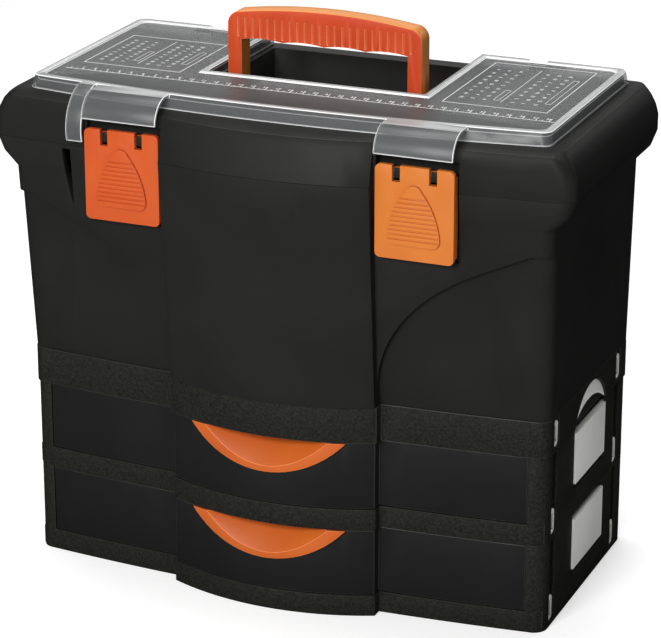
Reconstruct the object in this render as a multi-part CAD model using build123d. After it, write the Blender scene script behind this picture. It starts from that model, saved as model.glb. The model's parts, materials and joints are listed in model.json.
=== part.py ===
from build123d import *
from math import atan2, cos, degrees, sin, sqrt
import os

os.makedirs("parts", exist_ok=True)

# Portable tool box: a chest with a bullnose lid and a clear organiser cover,
# standing on a skirt frame and two drawer modules.
# Millimetres. X to the right, the front faces -Y, +Z up.
# The origin is on the floor, under the middle of the clear cover.

# ---- plan of the drawer stack -------------------------------------------------
side_x = 209.0            # half width of the drawer modules
back_y = 98.0             # rear face of the modules, the chest and the lid
front_mid_y = -106.0      # where the gently bowed front would cross the centre line
front_corner_y = -93.5    # the bowed front at the side faces
corner_r = 11.0           # vertical front corners
back_corner_r = 8.0       # vertical back corners
bulge_half = 82.5         # half width of the centre column
bulge_edge_y = -112.5     # column face at its two edges
bulge_peak_y = -130.5     # column face on the centre line
wall = 3.0                # moulded wall of the chest, lid and frames
fit_gap = 0.3             # clearance between parts that move on each other
pin_gap = 0.05            # radial clearance of every pin
arc_cut = 1 - sqrt(0.5)   # where a 90 degree arc crosses its diagonal, as a share of its radius

# ---- heights ------------------------------------------------------------------
module_h = 70.0           # pitch of the drawer modules
rail_h = 16.5             # front rail under each drawer
skirt_h = 28.5            # skirt frame between the modules and the chest
skirt_lip = 1.0           # skirt frame stands proud of the modules by this much
chest_h = 172.5           # foot of the chest to the parting line
lid_h = 34.0              # parting line to the flat top of the lid
cover_h = 10.0            # clear cover above the lid
skirt_z = 2 * module_h
chest_z = skirt_z + skirt_h
seam_z = chest_z + chest_h
lid_top_z = seam_z + lid_h
cover_top_z = lid_top_z + cover_h

# ---- chest and lid ------------------------------------------------------------
chest_draft = 3.0         # each side wall leans out by this much from foot to rim
chest_proud = 3.0         # centre column of the chest in front of that of the modules
front_lean = 11.5         # front panels lean out this much from foot to seam
edge_lean = 14.0          # column edges lean out this much from foot to seam
peak_lean = 7.0           # middle of the column leans out this much
rim_h = 23.0              # rounded rim of the chest below the seam
rim_rise = 6.5            # widest point of the bullnose above the seam
rim_r = 36.0              # radius of the bullnose
rim_x = 229.3             # half width at its widest point
shoulder = 5.0            # raised front panels above the curved step line
step_low_z = 187.0        # where the step line meets the centre column
step_under = 20.0         # it runs out level this far below the rim
lid_lean = 1.5            # front panels of the lid lean back
lid_column_lean = 9.0     # centre column of the lid leans back
front_round = 7.0         # rounded top edge along the front of the lid
rim_z = seam_z + rim_rise
flare_z = seam_z - rim_h

# ---- latches ------------------------------------------------------------------
latch_in = 2.5            # latch stands this far outside the centre column
latch_w = 60.0
latch_h = 69.5
latch_up = 17.5           # top of the latch above the seam
latch_t = 4.0             # face plate
latch_face_y = -123.5     # outer face
latch_depth = 12.5        # outer face to the flat pocket behind it
latch_flange = 8.0        # depth of its side flanges
latch_web = 2.5           # and their thickness
latch_pin_r = 2.5
latch_pin_drop = 5.0      # pivot bar below the top of the latch
latch_ear_x = 14.0        # hooks of the lid beside the middle of the latch
latch_ear_w = 4.0
latch_ear_t = 2.0
latch_bar_half = 26.0     # half length of the pivot bar
latch_nose_half = 20.0
latch_clear = 1.0         # gap to the pocket on each side
latch_nose_h = 6.0        # nose and catch rib
latch_nose_gap = 0.5      # nose clear of the catch rib
latch_slot = 7.0          # slots in the plate reach this far below the pivot bar
catch_up = 11.0           # catch rib above the lower edge of the latch
catch_deep = 2.0
pad_w = 40.0              # arched thumb pad on the face
pad_h = 45.0
pad_t = 2.0
pad_ribs = 10
pad_pitch = 3.4
latch_x = bulge_half + latch_in + latch_w / 2
latch_top_z = seam_z + latch_up
latch_low_z = latch_top_z - latch_h
latch_pin_y = latch_face_y + latch_t + 2
latch_pin_z = latch_top_z - latch_pin_drop
pocket_y = latch_face_y + latch_depth
wedge_x = -164.5          # tapered slot in the chest beside the left latch
wedge_w = 7.0
wedge_h = 45.0

# ---- handle -------------------------------------------------------------------
handle_half = 78.0        # outer half width
handle_leg_w = 11.0
handle_d = 16.0           # front to back when upright
handle_y = -6.0           # centre of the handle and its pivot
handle_sink = 11.0        # pivot below the top of the lid
handle_rise = 43.0        # pivot to the underside of the grip
grip_h = 21.0             # height of the grip at its ends
grip_crown = 5.0          # extra height in the middle
grip_corner_r = 10.0
grip_wave = 1.6           # finger hollows in the underside of the grip
grip_fingers = 4
grip_ribs = 24            # grooves along the front of the grip
handle_pin_r = 4.0
boss_w = 18.0             # handle bearings in the well
handle_pivot_z = lid_top_z - handle_sink
handle_grip_z = handle_pivot_z + handle_rise
handle_top_z = handle_grip_z + grip_h

# ---- lid wells and clear cover -----------------------------------------------
cover_x = 203.7           # half width of the clear cover at its top
cover_back_y = 93.0
cover_front_y = -92.0     # front lip at its corners
cover_bow = 12.0          # the lip bows forward in the middle
cover_draft = 2.3         # the side walls of the cover lean out to their foot
lip_lean = 3.0            # the front lip leans out to its foot
lip_bow = 5.0             # and bows this much more there
cover_t = 2.0
cover_rim = 6.0           # raised border round the top panel
cover_rim_h = 1.2
cover_corner_r = 8.0
well_side = 5.0           # handle to the side of its well
well_under = 4.0          # folded handle to the floor of its well
well_room = 21.0          # finger room behind the folded grip
well_front_room = 13.0
cutout_gap = 4.0          # clear cover stays this far outside the handle well
tray_depth = 25.0         # small-parts wells below the top of the lid
tray_wall = 4.0
tray_rim = 10.0           # cover edge to the wells at the sides
tray_back_rim = 14.0
tray_front_rim = 8.0
hood_half = 30.0          # half width of the clear hoods over the latches
hood_over = 4.5           # hood in front of the latch
hood_drop = 18.5          # cover top to the lower edge of a hood
leg_out = 38.5            # single clear finger, from the middle of the left latch
leg_w = 13.0
leg_drop = 38.0           # cover top to the tip of the finger
well_half = handle_half + well_side
well_floor_z = handle_pivot_z - handle_d / 2 - well_under
well_front_y = handle_y - handle_d / 2 - well_front_room
well_back_y = handle_y + handle_top_z + grip_crown - handle_pivot_z + well_room
tray_floor_z = lid_top_z - tray_depth

# ---- drawers ------------------------------------------------------------------
post_w = 14.0             # corner posts beside the drawer opening
drawer_gap = 0.6          # clearance round the drawer front
drawer_t = 2.5            # floor, sides and back of a drawer
panel_t = 4.0             # front of a drawer
panel_set = 0.8           # drawer front lies back from the rails
drawer_back_y = 84.0
drawer_low = 6.0          # drawer sides end this far below the front's top edge
runner_in = 16.0          # width of the side runners under a drawer
drawer_travel = 150.0
window_half = side_x - post_w
scoop_half = 62.0         # half width of the finger scoop at the top edge
scoop_drop = 27.5         # depth of its lower edge below the top edge
scoop_rim = 6.0
scoop_deep = 20.0         # how far the bowl slopes in behind the column face
scoop_seat = 2.0          # the rim covers the edge of its hole by this much
scoop_t = 2.5
scoop_proud = 1.2

# ---- side locking flaps, tongues and clips -----------------------------------
flap_y = 6.0              # centre of each flap
flap_w = 70.0
flap_h = 42.0
flap_t = 3.0
flap_proud = 1.5
flap_drop = 5.5           # pivot below the top of its module
flap_pin_r = 2.0
flap_pin_len = 4.0        # each pin beyond the edge of its flap
flap_pin_in = 2.5         # pivot behind the side face
flap_recess = 7.0
flap_gap = 1.0
tongue_half = 38.0        # half-moon tongue above the upper flap
tongue_h = 25.0
tongue_rim = 13.0
tongue_t = 1.5
groove_w = 10.0           # joining grooves in the side faces
groove_deep = 3.0
front_groove_y = -76.0
rear_groove_y = 73.0
clip_h = 20.0
clip_up = 4.0             # foot of a clip above the foot of its frame
clip_bar = 2.2
clip_t = 2.0

# ---- hinges -------------------------------------------------------------------
hinge_back = 7.0          # lid hinge axis behind the rear face
hinge_r = 5.0
hinge_pin_r = 2.0
hinge_x = 140.0           # centre of each hinge
hinge_len = 36.0
hinge_web = 9.0
cover_lug_w = 14.0        # lid lug and cover ear of each hinge of the clear cover
cover_barrel_r = 3.3
cover_pin_r = 1.5
cover_hinge_in = 0.5      # cover hinge axis in front of the cover's rear face
cover_hinge_up = 5.0      # and above the lid
hinge_y = back_y + hinge_back
cover_hinge_y = cover_back_y - cover_hinge_in
cover_hinge_z = lid_top_z + cover_hinge_up

far = 60.0                # cutters reach this far beyond the front


def edge_through(points, z):
    """Line through two plan points or arc through three, at height z."""
    at = [(x, y, z) for x, y in points]
    return Line(*at) if len(at) == 2 else ThreePointArc(*at)


def symmetric_face(middle, right, rear, z):
    """Plan face from its front middle, its right half and its rear edge."""
    left = [[(-x, y) for x, y in reversed(points)] for points in reversed(right)]
    edges = [edge_through(points, z) for points in [middle] + right + [rear] + left]
    return Face(Wire(edges))


def outline(z, half, front_mid, front_corner, back, edge_y, peak_y, column):
    """Plan at height z: bowed front with a centre column, rounded corners."""
    bow = (front_corner - front_mid) / (half * half)
    mid_x = (column + half) / 2
    turn_x = half - corner_r
    join_y = front_mid + bow * column * column
    mid_y = front_mid + bow * mid_x * mid_x
    turn_y = front_mid + bow * turn_x * turn_x
    cut = corner_r * arc_cut
    back_cut = back_corner_r * arc_cut
    right = [
        [(column, edge_y), (column, join_y)],
        [(column, join_y), (mid_x, mid_y), (turn_x, turn_y)],
        [(turn_x, turn_y), (half - cut, turn_y + cut), (half, turn_y + corner_r)],
        [(half, turn_y + corner_r), (half, back - back_corner_r)],
        [(half, back - back_corner_r), (half - back_cut, back - back_cut), (half - back_corner_r, back)],
    ]
    middle = [(-column, edge_y), (0, peak_y), (column, edge_y)]
    rear = [(half - back_corner_r, back), (back_corner_r - half, back)]
    return symmetric_face(middle, right, rear, z)


def stack_outline(z, inset=0.0):
    """Plan of the drawer stack, drawn in by inset all round."""
    return outline(
        z,
        side_x - inset,
        front_mid_y + inset,
        front_corner_y + inset,
        back_y - inset,
        bulge_edge_y + inset,
        bulge_peak_y + inset,
        bulge_half - inset,
    )


def prism(face, height):
    """Upright solid over a plan face."""
    return extrude(face, amount=height, dir=(0, 0, 1))


def block(x0, x1, y0, y1, z0, z1):
    """Box between two corners, given in any order."""
    centre = Pos((x0 + x1) / 2, (y0 + y1) / 2, (z0 + z1) / 2)
    return centre * Box(abs(x1 - x0), abs(y1 - y0), abs(z1 - z0))


def rod_x(x0, x1, y, z, radius):
    """Round bar along X."""
    return Pos((x0 + x1) / 2, y, z) * Rot(0, 90, 0) * Cylinder(radius, abs(x1 - x0))


def rod_y(x, y0, y1, z, radius):
    """Round bar along Y."""
    return Pos(x, (y0 + y1) / 2, z) * Rot(90, 0, 0) * Cylinder(radius, abs(y1 - y0))


def segment_radius(half, drop):
    """Radius of the arc over a chord of 2 * half with this height."""
    return (half * half + drop * drop) / (2 * drop)


def save(name, shape):
    """Write one node; a group of separate solids goes in as a compound."""
    solids = shape.solids()
    kept = solids[0] if len(solids) == 1 else Compound(children=list(solids))
    kept.label = name
    export_step(kept, "parts/" + name + ".step")


# ---- chest body ---------------------------------------------------------------

def wall_half(z):
    """Half width of the chest wall at height z."""
    return side_x + skirt_lip + chest_draft * (z - chest_z) / (flare_z - chest_z)


def rim_half(z):
    """Half width of the rounded rim and the bullnose at height z."""
    return rim_x - rim_r + sqrt(rim_r ** 2 - (z - rim_z) ** 2)


def chest_plan(z, half, inset=0.0, raised=0.0):
    """Chest outline at height z; raised moves the front side panels forward."""
    rise = (z - chest_z) / chest_h
    lean = front_lean * rise + raised
    return outline(
        z,
        half - inset,
        front_mid_y - lean + inset,
        front_corner_y - lean + inset,
        back_y - inset,
        bulge_edge_y - chest_proud - edge_lean * rise + inset,
        bulge_peak_y - chest_proud - peak_lean * rise + inset,
        bulge_half - inset,
    )


def step_line_cutter():
    """Space above the curved step line on the front, both sides of the column."""
    y = bulge_peak_y - far
    inner = bulge_half - wall
    outer = rim_x + far
    end = side_x - corner_r
    run = end - bulge_half
    high = flare_z - step_under
    rise = high - step_low_z
    curve = Spline(
        (bulge_half, y, step_low_z),
        (bulge_half + 0.11 * run, y, step_low_z + 0.36 * rise),
        (bulge_half + 0.38 * run, y, step_low_z + 0.67 * rise),
        (bulge_half + 0.76 * run, y, step_low_z + 0.89 * rise),
        (end, y, high),
    )
    sides = [
        curve,
        Line((end, y, high), (outer, y, high)),
        Line((outer, y, high), (outer, y, seam_z)),
        Line((outer, y, seam_z), (inner, y, seam_z)),
        Line((inner, y, seam_z), (inner, y, step_low_z)),
        Line((inner, y, step_low_z), (bulge_half, y, step_low_z)),
    ]
    reach = front_corner_y + corner_r - y
    right = extrude(Face(Wire(sides)), amount=reach, dir=(0, 1, 0))
    return right + mirror(right, about=Plane.YZ)


def chest_body():
    rim_mid_z = flare_z + rim_h * 0.45
    low = loft([chest_plan(z, wall_half(z)) for z in (chest_z, flare_z)], ruled=True)
    high = loft([chest_plan(z, wall_half(z), 0, shoulder) for z in (step_low_z, flare_z)], ruled=True)
    rim = loft([chest_plan(z, rim_half(z), 0, shoulder) for z in (flare_z, rim_mid_z, seam_z)], ruled=True)
    inside = loft([
        chest_plan(chest_z + wall, wall_half(chest_z), wall),
        chest_plan(flare_z, wall_half(flare_z), wall),
        chest_plan(seam_z, rim_half(seam_z), wall, shoulder),
    ], ruled=True)
    shell = low + rim + (high & step_line_cutter()) - inside
    for side in (-1, 1):
        cx = side * latch_x
        half = latch_w / 2 + latch_clear
        foot = latch_low_z - latch_clear
        rib_z = latch_low_z + catch_up
        shell = shell - block(cx - half, cx + half, bulge_peak_y - far, pocket_y, foot, seam_z)
        shell = shell + block(cx - half, cx + half, pocket_y, pocket_y + wall, foot, seam_z)
        shell = shell + block(cx - half, cx + half, pocket_y - catch_deep, pocket_y, rib_z, rib_z + latch_nose_h)
        shell = shell + hinge_knuckle(side, 1, seam_z - hinge_web, seam_z - fit_gap)
    return shell - wedge_slot()


def wedge_slot():
    """Narrow tapered slot right through the left front panel."""
    y = bulge_peak_y - far
    x0 = wedge_x - wedge_w / 2
    x1 = wedge_x + wedge_w / 2
    top = seam_z - wall
    face = Face(Wire([
        Line((x0, y, top), (x1, y, top)),
        Line((x1, y, top), (x1, y, top - wedge_h)),
        ThreePointArc((x1, y, top - wedge_h), (wedge_x, y, top - wedge_h * 0.7), (x0, y, top)),
    ]))
    return extrude(face, amount=pocket_y + 2 * wall - y, dir=(0, 1, 0))


def hinge_knuckle(side, outward, z0, z1):
    """Knuckle of a rear hinge on the outer or inner half of its pin, with a web from z0 to z1."""
    near = side * (hinge_x + outward * fit_gap / 2)
    end = side * (hinge_x + outward * hinge_len / 2)
    lug = rod_x(near, end, hinge_y, seam_z, hinge_r)
    lug = lug + block(near, end, back_y - wall, hinge_y, z0, z1)
    return lug - rod_x(near - hinge_len, near + hinge_len, hinge_y, seam_z, hinge_pin_r + pin_gap)


def pin_pair(half_len, y, z, radius):
    """Left and right hinge pin as a group."""
    pins = [rod_x(s * hinge_x - half_len, s * hinge_x + half_len, y, z, radius) for s in (-1, 1)]
    return pins[0] + pins[1]


# ---- lid ----------------------------------------------------------------------

def lid_plan(z, inset=0.0):
    """Lid outline at height z: bullnose sides, upright front with a rounded top edge."""
    rise = (z - seam_z) / lid_h
    over = max(0.0, z - (lid_top_z - front_round))
    roll = front_round - sqrt(front_round ** 2 - over ** 2)
    front = lid_lean * rise + roll - front_lean - shoulder + inset
    column = lid_column_lean * rise + roll - chest_proud + inset
    return outline(
        z,
        rim_half(z) - inset,
        front_mid_y + front,
        front_corner_y + front,
        back_y - inset,
        bulge_edge_y + column - edge_lean,
        bulge_peak_y + column - peak_lean,
        bulge_half - inset,
    )


def lid_wells():
    """The four wells open at the top: x0, x1, y0, y1, floor."""
    tray_in = well_half + tray_wall
    tray_out = cover_x - tray_rim
    tray_front = cover_front_y + tray_front_rim
    tray_back = cover_back_y - tray_back_rim
    return [
        (-well_half, well_half, well_front_y, well_back_y, well_floor_z),
        (-well_half, well_half, tray_front, well_front_y - tray_wall, tray_floor_z),
        (tray_in, tray_out, tray_front, tray_back, tray_floor_z),
        (-tray_out, -tray_in, tray_front, tray_back, tray_floor_z),
    ]


def lid():
    low = seam_z + fit_gap
    levels = [low, rim_z + 6, lid_top_z - 2 * front_round, lid_top_z - front_round, lid_top_z - 2.5, lid_top_z]
    body = loft([lid_plan(z) for z in levels], ruled=True)
    skin = loft([lid_plan(z) for z in levels[:4]], ruled=True)
    body = body - loft([lid_plan(z, wall) for z in (low, lid_top_z - 2 * front_round, lid_top_z - wall)], ruled=True)
    for x0, x1, y0, y1, floor in lid_wells():
        body = body + block(x0 - wall, x1 + wall, y0 - wall, y1 + wall, floor - wall, lid_top_z - wall / 2)
    for x0, x1, y0, y1, floor in lid_wells():
        body = body - block(x0, x1, y0, y1, floor, lid_top_z + 1)
    for side in (-1, 1):
        cx = side * latch_x
        half = latch_w / 2 + latch_clear
        roof = latch_top_z + latch_pin_drop
        front = bulge_peak_y - far
        space = block(cx - half, cx + half, front, pocket_y, low - 1, roof)
        box = block(cx - half - wall, cx + half + wall, front, pocket_y + wall, low, roof + wall)
        body = body - space + ((box - space) & skin)
        body = body + latch_ears(cx) + hinge_knuckle(side, -1, seam_z + fit_gap, seam_z + hinge_r)
        body = body + handle_bearing(side) + cover_lug(side)
    return body


def latch_ears(cx):
    """Two upright hooks on the lid that hold the bar at the top of a latch."""
    slot = latch_pin_r + pin_gap
    half = latch_ear_w / 2
    low = latch_pin_z - slot - latch_ear_t
    top = latch_pin_z + slot
    ears = None
    for x in (cx - latch_ear_x, cx + latch_ear_x):
        ear = block(x - half, x + half, latch_pin_y - slot - latch_ear_t, pocket_y + wall / 2, low, top)
        ear = ear - block(x - half - 1, x + half + 1, latch_pin_y - slot, latch_pin_y + slot, latch_pin_z - slot, top + 1)
        ears = ear if ears is None else ears + ear
    return ears


def handle_bearing(side):
    """Boss in the handle well that carries one pivot of the handle."""
    x0 = side * (handle_half + 1)
    x1 = side * (well_half + 1)
    top = handle_pivot_z + handle_pin_r + 4
    boss = block(x0, x1, handle_y - boss_w / 2, handle_y + boss_w / 2, well_floor_z - 1, top)
    return boss - rod_x(x0 - side, x1 + side, handle_y, handle_pivot_z, handle_pin_r + pin_gap)


def cover_lug(side):
    """Rear lug of the lid that carries one pin of the clear cover."""
    x0 = side * (hinge_x - cover_lug_w)
    x1 = side * (hinge_x - fit_gap / 2)
    lug = rod_x(x0, x1, cover_hinge_y, cover_hinge_z, cover_barrel_r)
    foot = block(x0, x1, cover_hinge_y - cover_barrel_r, cover_hinge_y + cover_barrel_r,
                 lid_top_z - wall / 2, cover_hinge_z)
    return lug + foot - rod_x(x0 - side, x1 + side, cover_hinge_y, cover_hinge_z, cover_pin_r + pin_gap)


# ---- clear cover --------------------------------------------------------------

def cover_plan(z, inset=0.0):
    """Outline of the clear cover with its bowed front lip, wider at the foot."""
    drop = (cover_top_z - z) / cover_h
    half = cover_x + cover_draft * drop - inset
    front = cover_front_y - lip_lean * drop + inset
    mid = front - cover_bow - lip_bow * drop
    back = cover_back_y - inset
    r = cover_corner_r
    cut = r * arc_cut
    right = [
        [(half - r, front), (half - cut, front + cut), (half, front + r)],
        [(half, front + r), (half, back - r)],
        [(half, back - r), (half - cut, back - cut), (half - r, back)],
    ]
    return symmetric_face([(r - half, front), (0, mid), (half - r, front)], right, [(half - r, back), (r - half, back)], z)


def clear_cover():
    low = lid_top_z + fit_gap
    under = cover_top_z - cover_rim_h - cover_t
    body = loft([cover_plan(low), cover_plan(cover_top_z)], ruled=True)
    body = body - loft([cover_plan(low, cover_t), cover_plan(under, cover_t)], ruled=True)
    body = body - prism(cover_plan(cover_top_z - cover_rim_h, cover_rim), cover_rim_h + 1)
    half = well_half + cutout_gap
    front = well_front_y - cutout_gap
    rim = cover_t + cover_rim / 2
    opening = block(-half, half, front, cover_back_y + 1, low - 1, cover_top_z + 1)
    body = body + block(-half - cover_t, half + cover_t, front - cover_t, cover_back_y, low, cover_top_z)
    body = body + block(-half - rim, half + rim, front - rim, cover_back_y, under, cover_top_z)
    body = body - opening
    for side in (-1, 1):
        near = side * (hinge_x + fit_gap / 2)
        end = side * (hinge_x + cover_lug_w)
        gap_end = side * (hinge_x - cover_lug_w - fit_gap)
        body = body + hood(side * latch_x)
        body = body + rod_x(near, end, cover_hinge_y, cover_hinge_z, cover_barrel_r)
        body = body + block(near, end, cover_hinge_y - cover_barrel_r, cover_hinge_y,
                            cover_hinge_z - cover_barrel_r, cover_top_z)
        body = body - block(gap_end, near, cover_hinge_y - cover_barrel_r - fit_gap,
                            cover_hinge_y + cover_barrel_r + 1, low - 1, cover_top_z + 1)
        body = body - rod_x(near - side, end + side, cover_hinge_y, cover_hinge_z, cover_pin_r + pin_gap)
    return body + cover_leg()


def lip_y(x):
    """Top edge of the cover's front lip at x."""
    return cover_front_y - cover_bow * (1 - (x / cover_x) ** 2)


def hood(cx):
    """Clear hood that rolls forward and down over the top of a latch."""
    root = lip_y(cx) + cover_t
    front = latch_face_y - hood_over
    low = cover_top_z - hood_drop
    reach = root - front
    x0 = cx - hood_half
    flat_y = root - reach * 0.3
    round_y = root - reach * 0.8
    round_z = cover_top_z - hood_drop * 0.29
    outer = Wire([
        Line((x0, root, cover_top_z), (x0, flat_y, cover_top_z)),
        ThreePointArc((x0, flat_y, cover_top_z), (x0, round_y, round_z), (x0, front, low)),
        Line((x0, front, low), (x0, front + cover_t, low)),
        ThreePointArc(
            (x0, front + cover_t, low),
            (x0, round_y + cover_t * 0.8, round_z - cover_t * 0.8),
            (x0, flat_y, cover_top_z - cover_t),
        ),
        Line((x0, flat_y, cover_top_z - cover_t), (x0, root, cover_top_z - cover_t)),
        Line((x0, root, cover_top_z - cover_t), (x0, root, cover_top_z)),
    ])
    return extrude(Face(outer), amount=2 * hood_half, dir=(1, 0, 0))


def cover_leg():
    """Single clear finger that reaches down over the lid front beside the left hood."""
    cx = -latch_x - leg_out
    x0 = cx - leg_w / 2
    root = lip_y(cx) + cover_t
    start = root - 6
    tip_y = latch_face_y
    tip_z = cover_top_z - leg_drop
    bend_y = tip_y + 1.0
    bend_z = cover_top_z - leg_drop / 2
    top = cover_top_z
    face = Face(Wire([
        Line((x0, root, top), (x0, start, top)),
        ThreePointArc((x0, start, top), (x0, bend_y, bend_z), (x0, tip_y, tip_z)),
        Line((x0, tip_y, tip_z), (x0, tip_y + cover_t, tip_z)),
        ThreePointArc((x0, tip_y + cover_t, tip_z), (x0, bend_y + cover_t, bend_z), (x0, start, top - cover_t)),
        Line((x0, start, top - cover_t), (x0, root, top - cover_t)),
        Line((x0, root, top - cover_t), (x0, root, top)),
    ]))
    return extrude(face, amount=leg_w, dir=(1, 0, 0))


# ---- handle -------------------------------------------------------------------

def handle():
    y0 = handle_y - handle_d / 2
    inner = handle_half - handle_leg_w
    foot = handle_pivot_z - handle_d / 2
    shoulder_z = handle_top_z - grip_corner_r
    turn_x = handle_half - grip_corner_r
    cut = grip_corner_r * arc_cut
    hollow = 2 * inner / grip_fingers
    waves = []
    for i in range(grip_fingers):
        x0 = inner - hollow * i
        waves.append(ThreePointArc(
            (x0, y0, handle_grip_z), (x0 - hollow / 2, y0, handle_grip_z + grip_wave), (x0 - hollow, y0, handle_grip_z)
        ))
    face = Face(Wire([
        Line((-handle_half, y0, foot), (-handle_half, y0, shoulder_z)),
        ThreePointArc(
            (-handle_half, y0, shoulder_z), (-handle_half + cut, y0, handle_top_z - cut), (-turn_x, y0, handle_top_z)
        ),
        ThreePointArc((-turn_x, y0, handle_top_z), (0, y0, handle_top_z + grip_crown), (turn_x, y0, handle_top_z)),
        ThreePointArc(
            (turn_x, y0, handle_top_z), (handle_half - cut, y0, handle_top_z - cut), (handle_half, y0, shoulder_z)
        ),
        Line((handle_half, y0, shoulder_z), (handle_half, y0, foot)),
        Line((handle_half, y0, foot), (inner, y0, foot)),
        Line((inner, y0, foot), (inner, y0, handle_grip_z)),
        *waves,
        Line((-inner, y0, handle_grip_z), (-inner, y0, foot)),
        Line((-inner, y0, foot), (-handle_half, y0, foot)),
    ]))
    body = extrude(face, amount=handle_d, dir=(0, 1, 0))
    pitch = 2 * (handle_half - handle_leg_w / 2) / grip_ribs
    for i in range(grip_ribs):
        gx = pitch * (i + 0.5 - grip_ribs / 2)
        body = body - block(gx - 0.6, gx + 0.6, y0 - 1, y0 + 1, handle_grip_z + 2, handle_top_z - 4)
    for side in (-1, 1):
        body = body + rod_x(side * (handle_half - 1), side * well_half, handle_y, handle_pivot_z, handle_pin_r)
    return body


# ---- latches ------------------------------------------------------------------

def latch(side):
    cx = side * latch_x
    half = latch_w / 2
    back = latch_face_y + latch_t
    plate = block(cx - half, cx + half, latch_face_y, back, latch_low_z, latch_top_z)
    plate = fillet(plate.edges().filter_by(Axis.Y), latch_t)
    for s in (-1, 1):
        plate = plate + block(cx + s * half, cx + s * (half - latch_web), back - 1, latch_face_y + latch_flange,
                              latch_low_z + latch_t, latch_top_z - latch_pin_drop)
    nose_z = latch_low_z + catch_up - latch_nose_h - catch_deep
    nose_y = pocket_y - catch_deep - latch_nose_gap
    plate = plate + block(cx - latch_nose_half, cx + latch_nose_half, back - 1, nose_y, nose_z, nose_z + latch_nose_h)
    gap = latch_ear_w / 2 + latch_clear
    for x in (cx - latch_ear_x, cx + latch_ear_x):
        plate = plate - block(x - gap, x + gap, latch_face_y - 1, latch_face_y + latch_flange + 1,
                              latch_pin_z - latch_slot, latch_top_z + 1)
    plate = plate + rod_x(cx - latch_bar_half, cx + latch_bar_half, latch_pin_y, latch_pin_z, latch_pin_r)
    between = latch_ear_x - gap - latch_clear
    beside = latch_ear_x + gap + latch_clear
    for x0, x1 in ((-latch_bar_half, -beside), (-between, between), (beside, latch_bar_half)):
        plate = plate + block(cx + x0, cx + x1, back - 1, latch_pin_y, latch_pin_z - 2, latch_pin_z + 2)
    return plate + thumb_pad(cx)


def thumb_pad(cx):
    """Raised arched pad with cross grooves."""
    low = latch_low_z + (latch_h - pad_h) / 2 - 1
    top = low + pad_h
    y = latch_face_y
    half = pad_w / 2
    face = Face(Wire([
        ThreePointArc((cx - half, y, low + 6), (cx - half + 2, y, low + 1.5), (cx - half + 7, y, low)),
        Line((cx - half + 7, y, low), (cx + half - 7, y, low)),
        ThreePointArc((cx + half - 7, y, low), (cx + half - 2, y, low + 1.5), (cx + half, y, low + 6)),
        ThreePointArc((cx + half, y, low + 6), (cx + half - 4.5, y, low + 25), (cx + 6, y, top - 4)),
        ThreePointArc((cx + 6, y, top - 4), (cx, y, top), (cx - 6, y, top - 4)),
        ThreePointArc((cx - 6, y, top - 4), (cx - half + 4.5, y, low + 25), (cx - half, y, low + 6)),
    ]))
    pad = extrude(face, amount=pad_t, dir=(0, -1, 0))
    for i in range(pad_ribs):
        gz = low + 4 + i * pad_pitch
        pad = pad - block(cx - half - 1, cx + half + 1, y - pad_t - 1, y - pad_t * 0.6, gz, gz + pad_pitch / 3)
    return pad


# ---- skirt frame and module frames --------------------------------------------

def side_grooves(side, face_x, z0, z1):
    """The two joining grooves of one side face: what backs them, and the grooves."""
    backing = None
    grooves = None
    for y in (front_groove_y, rear_groove_y):
        y0, y1 = y - groove_w / 2, y + groove_w / 2
        back = block(side * (face_x - groove_deep - wall), side * (face_x - wall / 2), y0 - wall, y1 + wall, z0, z1)
        cut = block(side * (face_x - groove_deep), side * (face_x + 1), y0, y1, z0 + clip_up, z1 + 1)
        backing = back if backing is None else backing + back
        grooves = cut if grooves is None else grooves + cut
    return backing, grooves


def skirt_frame():
    face_x = side_x + skirt_lip
    body = prism(stack_outline(skirt_z, -skirt_lip), skirt_h)
    body = body - prism(stack_outline(skirt_z - 1, wall - skirt_lip), skirt_h - wall + 1)
    for side in (-1, 1):
        backing, grooves = side_grooves(side, face_x, skirt_z, chest_z - wall)
        inner = face_x - groove_deep - wall
        y0, y1 = flap_y - tongue_half - wall, flap_y + tongue_half + wall
        body = body + backing - grooves
        body = body + block(side * inner, side * (face_x - wall / 2), y0, y1, skirt_z, chest_z - wall / 2)
        body = body - half_moon(side, face_x - groove_deep, groove_deep + 1, tongue_h)
    return body


def half_moon(side, x, thick, height):
    """Segment-shaped solid on a side face, standing on the foot of the skirt frame."""
    radius = segment_radius(tongue_half, height)
    disc = rod_x(side * x, side * (x + thick), flap_y, skirt_z + height - radius, radius)
    return disc & block(side * x, side * (x + thick), flap_y - tongue_half, flap_y + tongue_half,
                        skirt_z, skirt_z + height)


def lock_tongues():
    """Pale crescents above the upper flaps, one on each side."""
    x = side_x + skirt_lip - groove_deep
    pair = [half_moon(s, x, tongue_t, tongue_h - fit_gap) - half_moon(s, x, tongue_t, tongue_h - tongue_rim)
            for s in (-1, 1)]
    return pair[0] + pair[1]


def joining_clips(base, face_x):
    """Four ring clips in the side grooves of one frame."""
    clips = None
    for side in (-1, 1):
        for y in (front_groove_y, rear_groove_y):
            x0 = side * (face_x - groove_deep)
            half = groove_w / 2 - fit_gap / 2
            foot = base + clip_up
            ring = block(x0, x0 + side * clip_t, y - half, y + half, foot, foot + clip_h)
            ring = chamfer(ring.edges().filter_by(Axis.X), half / 2)
            hole = block(x0 - side, x0 + side * (clip_t + 1), y - half + clip_bar, y + half - clip_bar,
                         foot + clip_bar * 1.5, foot + clip_h - clip_bar * 1.5)
            clip = ring - hole
            clips = clip if clips is None else clips + clip
    return clips


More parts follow.
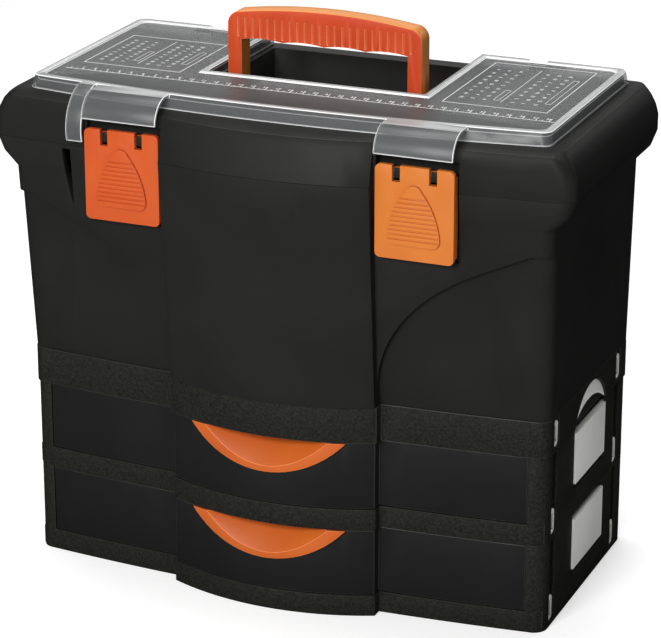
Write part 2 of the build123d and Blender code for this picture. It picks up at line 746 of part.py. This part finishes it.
def module_frame(base):
    top = base + module_h
    body = prism(stack_outline(base), module_h)
    body = body - prism(stack_outline(base + wall, wall), module_h)
    rear = front_corner_y + 2 * corner_r
    body = body - block(-window_half, window_half, bulge_peak_y - far, rear, base + rail_h, top + 1)
    pivot_z = top - flap_drop
    for side in (-1, 1):
        post = block(side * window_half, side * side_x, bulge_peak_y - far, rear - corner_r, base, top)
        body = body + (prism(stack_outline(base), module_h) & post)
        backing, grooves = side_grooves(side, side_x, base, top)
        body = body + backing + flap_pocket(side, base)
        runner_x = side * (window_half - runner_in)
        body = body + block(runner_x, side * (side_x - wall / 2), front_corner_y + wall, back_y - wall / 2,
                            base + wall / 2, base + rail_h)
        half = flap_w / 2 + flap_gap
        body = body - grooves
        body = body - block(side * (side_x - flap_recess), side * (side_x + 1), flap_y - half, flap_y + half,
                            pivot_z - flap_h - wall, top + 1)
        body = body - flap_notches(side, pivot_z, top)
    return body


def flap_notches(side, pivot_z, top):
    """Open-topped notches that the two pins of a flap drop into; the module above closes them."""
    slot = flap_pin_r + pin_gap
    px = side * (side_x - flap_pin_in)
    reach = flap_w / 2 + flap_pin_len + flap_gap
    return block(px - slot, px + slot, flap_y - reach, flap_y + reach, pivot_z - slot, top + 1)


def flap_pocket(side, base):
    """Thickened wall behind one locking flap."""
    half = flap_w / 2 + flap_gap + 2 * wall
    return block(side * (side_x - flap_recess - wall), side * (side_x - wall / 2), flap_y - half, flap_y + half,
                 base, base + module_h)


def flap(side, base):
    """Side plate that swings up on two pins to free the module above."""
    pivot_z = base + module_h - flap_drop
    px = side * (side_x - flap_pin_in)
    outer = side * (side_x + flap_proud)
    y0, y1 = flap_y - flap_w / 2, flap_y + flap_w / 2
    plate = block(outer, outer - side * flap_t, y0, y1, pivot_z - flap_h + 3, pivot_z + 1)
    plate = plate + block(outer, px, y0, y1, pivot_z - flap_pin_r, pivot_z + flap_pin_r)
    return plate + rod_y(px, y0 - flap_pin_len, y1 + flap_pin_len, pivot_z, flap_pin_r)


# ---- drawers ------------------------------------------------------------------

def drawer(base):
    low = base + rail_h + drawer_gap
    high = base + module_h - drawer_gap
    half = window_half - drawer_gap
    front = bulge_peak_y - far
    body = prism(stack_outline(low, panel_set), high - low) & block(-half, half, front, drawer_back_y, low, high)
    inside = prism(stack_outline(low + drawer_t, panel_set + panel_t), high - low)
    inner = half - drawer_t
    body = body - (inside & block(-inner, inner, front, drawer_back_y - drawer_t, low, high + 1))
    rear = front_corner_y + panel_set + panel_t
    body = body - block(-half - 1, half + 1, rear, drawer_back_y + 1, high - drawer_low, high + 1)
    return body - scoop_block(high, fit_gap / 2 - scoop_seat)


def scoop_block(top, grow):
    """Segment-shaped space of a finger scoop, straight in from the column face."""
    drop = scoop_drop + grow
    half = scoop_half + grow
    radius = segment_radius(half, drop)
    near = bulge_peak_y - far
    back = bulge_peak_y + scoop_deep + scoop_t
    disc = rod_y(0, near, back, top - drop + radius, radius)
    return disc & block(-half, half, near, back, top - drop - 1, top + 1)


def scoop_bowl(top, grow):
    """Hollow of a scoop: a round trough that slopes up from the rim to the top edge."""
    drop = scoop_drop - scoop_rim
    half = scoop_half - scoop_rim
    tilt = atan2(drop, scoop_deep)
    radius = segment_radius(half, drop * cos(tilt))
    y = bulge_peak_y - radius * sin(tilt)
    z = top - drop + radius * cos(tilt)
    return Pos(0, y, z) * Rot(degrees(tilt) - 90, 0, 0) * Cylinder(radius + grow, 4 * radius)


def pull(base):
    """Orange scoop: a rim that follows the column and a bowl that slopes up inwards."""
    top = base + module_h - drawer_gap
    face = prism(stack_outline(base, -scoop_proud), top - base)
    seat = prism(stack_outline(base, panel_set), top - base)
    rim = (scoop_block(top, 0.0) & face) - seat
    bowl = scoop_block(top, -scoop_seat) & face & scoop_bowl(top, scoop_t)
    return rim + bowl - scoop_bowl(top, 0.0)


save("chest_body", chest_body())
save("lid", lid())
save("clear_cover", clear_cover())
save("handle", handle())
save("latch_left", latch(-1))
save("latch_right", latch(1))
save("lid_hinge_pins", pin_pair(hinge_len / 2, hinge_y, seam_z, hinge_pin_r))
save("cover_hinge_pins", pin_pair(cover_lug_w, cover_hinge_y, cover_hinge_z, cover_pin_r))
save("skirt_frame", skirt_frame())
save("lock_tongues", lock_tongues())
save("clips_skirt", joining_clips(skirt_z, side_x + skirt_lip))
for level, base in (("lower", 0.0), ("upper", module_h)):
    save("module_frame_" + level, module_frame(base))
    save("clips_" + level, joining_clips(base, side_x))
    save("drawer_" + level, drawer(base))
    save("pull_" + level, pull(base))
    for name, side in (("left", -1), ("right", 1)):
        save("flap_" + name + "_" + level, flap(side, base))
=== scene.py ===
import json
import math

import bpy
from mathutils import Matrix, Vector


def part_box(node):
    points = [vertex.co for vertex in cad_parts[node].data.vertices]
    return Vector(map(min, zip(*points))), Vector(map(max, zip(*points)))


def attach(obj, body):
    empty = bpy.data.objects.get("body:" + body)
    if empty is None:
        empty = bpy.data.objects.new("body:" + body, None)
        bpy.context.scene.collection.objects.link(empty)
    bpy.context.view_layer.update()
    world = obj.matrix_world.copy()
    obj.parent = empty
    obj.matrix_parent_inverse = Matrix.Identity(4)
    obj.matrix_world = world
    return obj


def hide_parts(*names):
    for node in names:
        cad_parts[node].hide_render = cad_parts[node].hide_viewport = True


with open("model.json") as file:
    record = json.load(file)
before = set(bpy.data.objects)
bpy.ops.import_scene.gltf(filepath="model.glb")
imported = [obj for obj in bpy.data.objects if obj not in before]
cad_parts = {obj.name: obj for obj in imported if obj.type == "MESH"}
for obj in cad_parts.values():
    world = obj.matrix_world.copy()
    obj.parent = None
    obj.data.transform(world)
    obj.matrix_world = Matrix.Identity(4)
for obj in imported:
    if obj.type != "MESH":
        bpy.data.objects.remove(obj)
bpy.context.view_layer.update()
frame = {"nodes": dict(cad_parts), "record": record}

MM = 0.001

# Camera solved from the edges of the cover, the base and the seam of the photograph.
CAMERA_AT = (0.82098, -1.97106, 0.96586)
CAMERA_AZIMUTH = math.radians(22.62)
CAMERA_ELEVATION = math.radians(20.02)
FOCAL_PIXELS = 2942.78
IMAGE_WIDTH = 661
SENSOR = 36.0

# Places and sizes of the print on the clear cover, in millimetres of the frame.
COVER_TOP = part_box("clear_cover")[1].z / MM
COVER_RIM_H = 1.2
PANEL_Z = COVER_TOP - COVER_RIM_H + 0.06
BORDER_SLACK = 0.25
INK = 0.12
RULER_Y = -58.4
RULER_X = -187.5
RULER_CM = 38
FIGURE_H = 4.6
TABLE_LINE = 0.7
TABLE_FIGURE_H = 4.2
TABLE_ROWS = (1, 2, 3, 5.4, 6.4, 7.4)
TABLE_FIGURES = 9
TABLE_LEFT = (-186, -106, -41, 45)
TABLE_RIGHT = (104, 184, -40, 77)

# How the edges of the mouldings are softened.
MERGE = 0.01
FLAT_ANGLE = math.radians(0.4)
EDGE_ANGLE = math.radians(32)
SMOOTH_ANGLE = math.radians(30)
PLAIN_EDGE_MM = 0.5


# ---- materials ----------------------------------------------------------------

def srgb(code, alpha=1.0):
    """Linear colour of an sRGB hex value."""
    out = []
    for i in (0, 2, 4):
        v = int(code[i:i + 2], 16) / 255
        out.append(v / 12.92 if v <= 0.04045 else ((v + 0.055) / 1.055) ** 2.4)
    return (*out, alpha)


def node(tree, kind, inputs=None, **settings):
    """Add one shader node, set its properties and its inputs or links."""
    made = tree.nodes.new(kind)
    for key, value in settings.items():
        setattr(made, key, value)
    for key, value in (inputs or {}).items():
        if isinstance(value, bpy.types.NodeSocket):
            tree.links.new(value, made.inputs[key])
        else:
            made.inputs[key].default_value = value
    return made


def new_material(name):
    """Material with only its output, and the tree to fill."""
    material = bpy.data.materials.new(name)
    material.use_nodes = True
    tree = material.node_tree
    tree.nodes.clear()
    return material, tree, node(tree, "ShaderNodeOutputMaterial")


def grain(tree, place, size_mm, detail=3.0):
    """Noise with features of about size_mm on the piece's own coordinates."""
    return node(tree, "ShaderNodeTexNoise", {"Vector": place, "Scale": 1 / (size_mm * MM), "Detail": detail})


def warmed(tree, colour, warm, strength):
    """Painted highlight: the colour turned towards a warmer, lighter one where the moulding faces up or to
    its right.
    """
    turn = node(tree, "ShaderNodeSeparateXYZ", {0: node(tree, "ShaderNodeTexCoord").outputs["Normal"]})
    most = node(tree, "ShaderNodeMath", {0: turn.outputs["X"], 1: turn.outputs["Z"]}, operation="MAXIMUM")
    highlight_share = node(tree, "ShaderNodeMapRange", {
        "Value": most.outputs[0],
        "From Min": 0.25,
        "From Max": 0.85,
        "To Max": strength,
    })
    mix = node(tree, "ShaderNodeMixRGB", {
        "Fac": highlight_share.outputs["Result"],
        "Color1": colour,
        "Color2": srgb(warm),
    })
    return mix.outputs["Color"]


def moulded(
    name, dark, light, roughness, grain_mm, depth_mm, patch, specular=0.5, warm=None, drift_mm=60.0
):
    """Injection-moulded plastic: colour drift, gloss patches and a fine surface grain; a warm colour, where
    given, is painted on as a highlight.
    """
    material, tree, out = new_material(name)
    place = node(tree, "ShaderNodeTexCoord").outputs["Object"]
    colour = node(tree, "ShaderNodeValToRGB", {"Fac": grain(tree, place, drift_mm, 2.0).outputs["Fac"]})
    colour.color_ramp.elements[0].position = 0.35
    colour.color_ramp.elements[0].color = srgb(dark)
    colour.color_ramp.elements[1].position = 0.65
    colour.color_ramp.elements[1].color = srgb(light)
    gloss = node(tree, "ShaderNodeMapRange", {
        "Value": grain(tree, place, 25.0).outputs["Fac"],
        "To Min": roughness - patch,
        "To Max": roughness + patch,
    })
    bump = node(tree, "ShaderNodeBump", {
        "Height": grain(tree, place, grain_mm, 4.0).outputs["Fac"],
        "Distance": depth_mm * MM,
        "Strength": 1.0,
    })
    tint = colour.outputs["Color"]
    # Painted highlight: faces turned up or to the right tinted towards the warm colour.
    if warm:
        tint = warmed(tree, tint, warm, 0.8)
    shader = node(tree, "ShaderNodeBsdfPrincipled", {
        "Base Color": tint,
        "Roughness": gloss.outputs["Result"],
        "Normal": bump.outputs["Normal"],
        "IOR": 1.49,
        "Specular IOR Level": specular,
    })
    tree.links.new(shader.outputs["BSDF"], out.inputs["Surface"])
    return material


def clear_polystyrene(name, colour, alpha, roughness):
    """Smoke-clear moulded polystyrene, or the same painted lighter as a highlight on its border and edges:
    see-through by its alpha.
    """
    material, tree, out = new_material(name)
    place = node(tree, "ShaderNodeTexCoord").outputs["Object"]
    gloss = node(tree, "ShaderNodeMapRange", {
        "Value": grain(tree, place, 30.0).outputs["Fac"],
        "To Min": roughness - 0.04,
        "To Max": roughness + 0.04,
    })
    shader = node(tree, "ShaderNodeBsdfPrincipled", {
        "Base Color": srgb(colour),
        "Roughness": gloss.outputs["Result"],
        "IOR": 1.57,
        "Alpha": alpha,
    })
    tree.links.new(shader.outputs["BSDF"], out.inputs["Surface"])
    return material


def printed_ink(name, colour):
    """Pad-printed white ink: flat, slightly uneven in its cover."""
    material, tree, out = new_material(name)
    place = node(tree, "ShaderNodeTexCoord").outputs["Object"]
    shade = node(tree, "ShaderNodeValToRGB", {"Fac": grain(tree, place, 4.0).outputs["Fac"]})
    shade.color_ramp.elements[0].color = srgb("E2E2E0")
    shade.color_ramp.elements[1].color = srgb(colour)
    shader = node(tree, "ShaderNodeBsdfPrincipled", {"Base Color": shade.outputs["Color"], "Roughness": 0.5})
    tree.links.new(shader.outputs["BSDF"], out.inputs["Surface"])
    return material


# Chest and lid: smooth deep black with a soft sheen and only a faint drift of colour.
CHEST_PP = moulded("polypropylene_smooth_black", "222221", "252524", 0.5, 1.5, 0.012, 0.05, 0.12)
# Spark-eroded bands: matt, warmer black, its speckle drawn a little coarse so that it shows.
FRAME_PP = moulded(
    "polypropylene_spark_textured_black", "1B1B18", "282824", 0.62, 1.6, 0.4, 0.06, 0.16, drift_mm=1.8
)
# Drawer fronts: smooth, a shade deeper than the chest.
DRAWER_PP = moulded("polypropylene_drawer_black", "1D1D1D", "202020", 0.45, 1.5, 0.012, 0.05, 0.14)
# Scoops: warm orange, satin.
ORANGE_PP = moulded("polypropylene_orange", "C85A1A", "D26622", 0.40, 1.2, 0.015, 0.05, 0.4)
# Left latch: the same orange painted a deeper red as painted shade, with a little less sheen.
LATCH_LEFT_PAINTED_SHADE_PP = moulded("polypropylene_orange_painted_shade", "C8501C", "CE5822", 0.45, 1.2, 0.015, 0.05, 0.3)
# Right latch: the same orange painted amber as a painted highlight, with more sheen.
LATCH_RIGHT_PAINTED_LIGHT_PP = moulded("polypropylene_orange_painted_light", "D07228", "D67C30", 0.38, 1.2, 0.015, 0.05, 0.4)
# Painted shade: a deeper line along the edges and grooves of the latches.
LATCH_EDGE_SHADE = moulded("polypropylene_orange_groove_shade", "A83A14", "B0421A", 0.45, 1.2, 0.01, 0.05, 0.3)
# Painted highlight: a light line along every softened edge of the scoops and the handle.
ORANGE_EDGE_HIGHLIGHT = moulded("polypropylene_orange_edge_highlight", "EE9A62", "F0A26C", 0.40, 1.2, 0.01, 0.05, 0.4)
# Thin grey line where the edges of the black mouldings catch the light.
BLACK_EDGE = moulded("polypropylene_black_edge", "30302F", "3A3A38", 0.42, 1.2, 0.01, 0.05, 0.3)
# Handle: red-orange in front, painted amber as a highlight where it faces up or to its right.
HANDLE_PP = moulded("polypropylene_handle_orange", "D0431B", "DA5224", 0.42, 1.2, 0.02, 0.05, 0.4, "E89A3C")
# Locking plates and their tongues: pale satin ABS. The clips get the same pale as a painted highlight. The
# lighter line along the edges is a painted highlight.
PALE_ABS_AND_CLIP_HIGHLIGHT = moulded("abs_pale_grey", "EAEAE6", "F0F0EC", 0.38, 1.2, 0.015, 0.05)
PALE_EDGE_HIGHLIGHT = moulded("abs_pale_grey_edge_highlight", "F4F4F0", "FAFAF6", 0.38, 1.2, 0.01, 0.05)
# Hinge pins: black acetal, a little glossy.
PIN_ACETAL = moulded("acetal_black", "141414", "181818", 0.32, 0.8, 0.005, 0.03)
# Cover: a smoky see-through panel, a raised border painted lighter as a highlight, and edges painted white
# as a highlight.
COVER_PS = clear_polystyrene("polystyrene_smoke_clear", "6A6C6D", 0.5, 0.36)
COVER_BORDER_HIGHLIGHT = clear_polystyrene("polystyrene_raised_border_highlight", "C4C6C6", 0.7, 0.25)
COVER_EDGE_HIGHLIGHT = clear_polystyrene("polystyrene_edge_highlight", "F8F8F8", 1.0, 0.35)
INK_WHITE = printed_ink("pad_print_white", "FAFAF8")

FINISH = {
    "chest_body": CHEST_PP,
    "lid": CHEST_PP,
    "skirt_frame": FRAME_PP,
    "module_frame_upper": FRAME_PP,
    "module_frame_lower": FRAME_PP,
    "drawer_upper": DRAWER_PP,
    "drawer_lower": DRAWER_PP,
    "clear_cover": COVER_PS,
    "handle": HANDLE_PP,
    "latch_left": LATCH_LEFT_PAINTED_SHADE_PP,
    "latch_right": LATCH_RIGHT_PAINTED_LIGHT_PP,
    "lid_hinge_pins": PIN_ACETAL,
    "cover_hinge_pins": PIN_ACETAL,
}

EDGE_MM = {
    "chest_body": 0.8,
    "lid": 0.8,
    "clear_cover": 0.55,
    "handle": 0.35,
    "pull_upper": 0.5,
    "pull_lower": 0.5,
}


def finish_of(name):
    """Material of a CAD node by its name."""
    if name in FINISH:
        return FINISH[name]
    # Flaps and locks are pale ABS; on the clips the pale is a painted highlight.
    if name.startswith(("flap", "clips", "lock")):
        return PALE_ABS_AND_CLIP_HIGHLIGHT
    return ORANGE_PP


def edge_finish_of(name):
    """Material of the softened edges of a CAD node: a painted highlight, and painted shade on the latches.
    """
    if name == "clear_cover":
        return COVER_EDGE_HIGHLIGHT
    if name.startswith(("flap", "clips", "lock")):
        return PALE_EDGE_HIGHLIGHT
    if name.startswith("latch"):
        return LATCH_EDGE_SHADE
    if name.startswith(("pull", "handle")):
        return ORANGE_EDGE_HIGHLIGHT
    return BLACK_EDGE


def lighten_border(piece):
    """Paint a highlight on the raised border: its faces on top of the cover that turn up get a lighter look.
    """
    piece.data.materials.append(COVER_BORDER_HIGHLIGHT)
    for face in piece.data.polygons:
        raised = face.center.z > (COVER_TOP - BORDER_SLACK) * MM and face.normal.z > 0.9
        if raised and face.material_index == 0:
            face.material_index = 2


# ---- dressed copies of the moulded pieces -------------------------------------

def deselect():
    """Nothing selected, object mode."""
    if bpy.context.object and bpy.context.object.mode != "OBJECT":
        bpy.ops.object.mode_set(mode="OBJECT")
    bpy.ops.object.select_all(action="DESELECT")


def activate(piece):
    """Only this piece selected and active."""
    deselect()
    piece.select_set(True)
    bpy.context.view_layer.objects.active = piece


def body_of(name):
    """Name of the body that carries a CAD node."""
    for body, members in frame["record"]["behaviour"]["bodies"].items():
        if name in members:
            return body
    return None


def dress(name):
    """Copy of a CAD node with softened edges and smooth curved walls."""
    source = frame["nodes"][name]
    piece = source.copy()
    piece.data = source.data.copy()
    piece.name = name + "_moulding"
    bpy.context.collection.objects.link(piece)
    activate(piece)
    bpy.ops.object.mode_set(mode="EDIT")
    bpy.ops.mesh.select_all(action="SELECT")
    bpy.ops.mesh.remove_doubles(threshold=MERGE * MM)
    bpy.ops.mesh.dissolve_limited(angle_limit=FLAT_ANGLE)
    bpy.ops.object.mode_set(mode="OBJECT")
    piece.data.materials.clear()
    piece.data.materials.append(finish_of(name))
    bevel = piece.modifiers.new("edge", "BEVEL")
    bevel.width = EDGE_MM.get(name, PLAIN_EDGE_MM) * MM
    bevel.segments = 2
    bevel.limit_method = "ANGLE"
    bevel.angle_limit = EDGE_ANGLE
    bevel.use_clamp_overlap = name != "clear_cover"
    # The softened edges get a colour of their own: a painted highlight, and painted shade on the latches.
    piece.data.materials.append(edge_finish_of(name))
    bevel.material = 1
    bpy.ops.object.modifier_apply(modifier="edge")
    if name == "clear_cover":
        lighten_border(piece)
    bpy.ops.object.shade_smooth_by_angle(angle=SMOOTH_ANGLE)
    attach(piece, body_of(name))
    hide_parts(name)
    return piece


for name in list(frame["nodes"]):
    dress(name)


# ---- white print on the clear cover -------------------------------------------

def ink_bar(x, y, width, depth):
    """Thin printed bar with its centre at x, y, as a flat plate of ink."""
    bpy.ops.mesh.primitive_cube_add(size=1, location=(x * MM, y * MM, PANEL_Z * MM))
    bar = bpy.context.object
    bar.scale = (width * MM, depth * MM, INK * MM)
    bpy.ops.object.transform_apply(location=True, rotation=True, scale=True)
    bpy.ops.object.mode_set(mode="EDIT")
    bpy.ops.mesh.select_all(action="SELECT")
    bpy.ops.mesh.bevel(offset=INK * MM * 0.3, segments=1)
    bpy.ops.object.mode_set(mode="OBJECT")
    return bar


def repeat_bar(bar, count, step_x, step_y):
    """The bar and its repeats in one mesh."""
    activate(bar)
    array = bar.modifiers.new("repeat", "ARRAY")
    array.count = count
    array.use_relative_offset = False
    array.use_constant_offset = True
    array.constant_offset_displace = (step_x * MM, step_y * MM, 0)
    bpy.ops.object.modifier_apply(modifier="repeat")
    return bar


def ink_text(words, x, y, size, turn=0.0):
    """Printed figures standing at x, y, turned anticlockwise."""
    bpy.ops.object.text_add(location=(0, 0, 0))
    text = bpy.context.object
    text.data.body = words
    text.data.size = size * MM
    text.data.align_x = "CENTER"
    text.data.align_y = "CENTER"
    text.data.resolution_u = 2
    text.data.extrude = INK * MM / 2
    bpy.ops.object.convert(target="MESH")
    text.location = (x * MM, y * MM, PANEL_Z * MM)
    text.rotation_euler = (0, 0, turn)
    bpy.ops.object.transform_apply(location=True, rotation=True, scale=True)
    return text


def ink_frame(x0, y0, x1, y1, line):
    """Four printed lines round a rectangle."""
    mid_x = (x0 + x1) / 2
    mid_y = (y0 + y1) / 2
    return [
        ink_bar(mid_x, y0, x1 - x0 + line, line),
        ink_bar(mid_x, y1, x1 - x0 + line, line),
        ink_bar(x0, mid_y, line, y1 - y0 - line),
        ink_bar(x1, mid_y, line, y1 - y0 - line),
    ]


def print_piece(name, parts):
    """Join the printed marks and fasten them to the cover."""
    deselect()
    for part in parts:
        part.select_set(True)
    bpy.context.view_layer.objects.active = parts[0]
    bpy.ops.object.join()
    piece = bpy.context.object
    piece.name = name
    piece.data.materials.clear()
    piece.data.materials.append(INK_WHITE)
    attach(piece, body_of("clear_cover"))


def ruler():
    """Centimetre scale along the front of the cover."""
    length = RULER_CM * 10
    parts = [
        ink_bar(RULER_X + length / 2, RULER_Y - 2.6, length + 8, 0.6),
        repeat_bar(ink_bar(RULER_X, RULER_Y - 0.8, 0.7, 3.4), RULER_CM + 1, 10, 0),
        repeat_bar(ink_bar(RULER_X + 5, RULER_Y - 1.4, 0.5, 2.0), RULER_CM, 10, 0),
    ]
    for i in range(1, RULER_CM + 1):
        parts.append(ink_text(str(i), RULER_X + 10 * i - 1.5, RULER_Y + 3.0, FIGURE_H))
    print_piece("ruler_print", parts)


def size_table(name, sides, seed):
    """Table of plain sizes: a frame, two outlined bars and rows of figures that run front to back."""
    x0, x1, y0, y1 = sides
    parts = ink_frame(x0, y0, x1, y1, TABLE_LINE)
    middle = (x0 + x1) / 2
    parts.append(ink_bar(middle, (y0 + y1) / 2 + 2, 0.5, (y1 - y0) * 0.8))
    row_gap = (x1 - x0) / 9
    pitch = (y1 - y0) * 0.78 / TABLE_FIGURES
    for row in TABLE_ROWS:
        for k in range(TABLE_FIGURES):
            figure = str(2 + (seed + 3 * k + int(5 * row)) % 18)
            at_y = y0 + (y1 - y0) * 0.1 + pitch * (k + 0.5)
            parts.append(ink_text(figure, x0 + row_gap * row, at_y, TABLE_FIGURE_H, math.pi / 2))
    parts += ink_frame(x0 + row_gap * 3.7, y0 + 18, x0 + row_gap * 4.15, y0 + 46, 0.4)
    parts += ink_frame(x1 - row_gap * 1.0, y0 + 22, x1 - row_gap * 0.5, y1 - 28, 0.4)
    print_piece(name, parts)


ruler()
size_table("size_table_left_print", TABLE_LEFT, 4)
size_table("size_table_right_print", TABLE_RIGHT, 9)


# ---- floor, light and camera --------------------------------------------------

def by_ray(tree, seen, mirrored, other):
    """One shader for what the camera sees, one for mirrorings and one for all other light."""
    ray = node(tree, "ShaderNodeLightPath")
    direct = node(tree, "ShaderNodeMixShader", {0: ray.outputs["Is Camera Ray"], 1: other, 2: seen})
    glossy = ray.outputs["Is Glossy Ray"]
    return node(tree, "ShaderNodeMixShader", {0: glossy, 1: direct.outputs[0], 2: mirrored})


def stage_floor():
    """White paper floor, dark in mirrorings so that the black plastic stays black."""
    bpy.ops.mesh.primitive_plane_add(size=12, location=(0, 0, 0))
    floor = bpy.context.object
    floor.name = "floor"
    material, tree, out = new_material("floor_paper")
    paper = node(tree, "ShaderNodeBsdfDiffuse", {"Color": srgb("F2F2F2")})
    glow = node(tree, "ShaderNodeEmission", {"Color": (1, 1, 1, 1), "Strength": 0.45})
    both = node(tree, "ShaderNodeAddShader", {0: paper.outputs[0], 1: glow.outputs[0]})
    card = node(tree, "ShaderNodeBsdfDiffuse", {"Color": srgb("2A2A2A")})
    pick = by_ray(tree, both.outputs[0], card.outputs[0], paper.outputs[0])
    tree.links.new(pick.outputs[0], out.inputs["Surface"])
    floor.data.materials.append(material)


def area_light(name, at, aim, size, power):
    """Soft box at a place, turned to what it lights."""
    data = bpy.data.lights.new(name, "AREA")
    data.energy = power
    data.shape = "RECTANGLE"
    data.size = size[0]
    data.size_y = size[1]
    lamp = bpy.data.objects.new(name, data)
    bpy.context.collection.objects.link(lamp)
    lamp.location = at
    lamp.rotation_euler = (Vector(aim) - Vector(at)).to_track_quat("-Z", "Y").to_euler()


def light_world():
    """White backdrop with a dim fill, darker still in mirrorings."""
    world = bpy.data.worlds.new("studio")
    bpy.context.scene.world = world
    world.use_nodes = True
    tree = world.node_tree
    tree.nodes.clear()
    dim = node(tree, "ShaderNodeBackground", {"Color": (1, 1, 1, 1), "Strength": 0.13})
    white = node(tree, "ShaderNodeBackground", {"Color": (1, 1, 1, 1), "Strength": 1.0})
    dark = node(tree, "ShaderNodeBackground", {"Color": (1, 1, 1, 1), "Strength": 0.03})
    pick = by_ray(tree, white.outputs[0], dark.outputs[0], dim.outputs[0])
    out = node(tree, "ShaderNodeOutputWorld")
    tree.links.new(pick.outputs[0], out.inputs["Surface"])


def place_camera():
    """Camera at the place and with the lens of the photograph."""
    data = bpy.data.cameras.new("camera")
    data.sensor_width = SENSOR
    data.lens = FOCAL_PIXELS / IMAGE_WIDTH * SENSOR
    data.clip_end = 50
    camera = bpy.data.objects.new("camera", data)
    bpy.context.collection.objects.link(camera)
    flat = math.cos(CAMERA_ELEVATION)
    right = math.sin(CAMERA_AZIMUTH) * flat
    front = -math.cos(CAMERA_AZIMUTH) * flat
    back = Vector((right, front, math.sin(CAMERA_ELEVATION)))
    camera.location = CAMERA_AT
    camera.rotation_euler = (-back).to_track_quat("-Z", "Y").to_euler()
    bpy.context.scene.camera = camera


stage_floor()
light_world()
area_light("key", (0.0, -2.4, 1.4), (0, 0, 0.2), (1.2, 1.0), 56)
area_light("top", (-0.2, 0.3, 2.3), (0, 0, 0.3), (1.4, 1.0), 28)
area_light("sheen", (-0.8, 2.1, 1.3), (0, 0, 0.38), (1.2, 0.6), 5)
area_light("rim", (1.0, 2.2, 1.3), (0.2, 0, 0.3), (0.3, 0.7), 4)
place_camera()
bpy.context.scene.view_settings.view_transform = "Standard"
